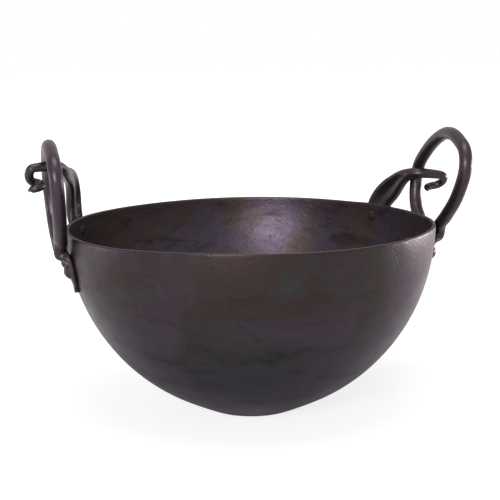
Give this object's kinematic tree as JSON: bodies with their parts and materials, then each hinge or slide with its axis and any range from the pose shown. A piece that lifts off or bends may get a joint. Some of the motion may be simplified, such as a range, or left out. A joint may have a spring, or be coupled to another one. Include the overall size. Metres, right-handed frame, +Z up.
{
  "type": "kadai",
  "caption": "Deep round iron cooking pan with a forged loop handle on each side and a curled hook riveted beside each loop, free-standing on a small flat base.",
  "frame": {"origin": "centre of the flat base, on the surface the pan stands on", "axes": "+Z up out of the bowl, +X from the centre to the right handle, +Y to the side of the bowl that carries the hooks"},
  "size_m": [0.3072, 0.254, 0.1945],
  "materials": {
    "bowl_iron": "oiled, patinated and hand-beaten",
    "bar_iron": "forged and patinated",
    "rivet_iron": "hammered and patinated"
  },
  "bodies": {
    "root": {"bowl": "bowl_iron", "right_loop": "bar_iron", "left_loop": "bar_iron", "right_hook": "bar_iron", "left_hook": "bar_iron", "right_front_rivet": "rivet_iron", "right_back_rivet": "rivet_iron", "right_palm_rivet": "rivet_iron", "left_front_rivet": "rivet_iron", "left_back_rivet": "rivet_iron", "left_palm_rivet": "rivet_iron"}
  },
  "joints": []
}
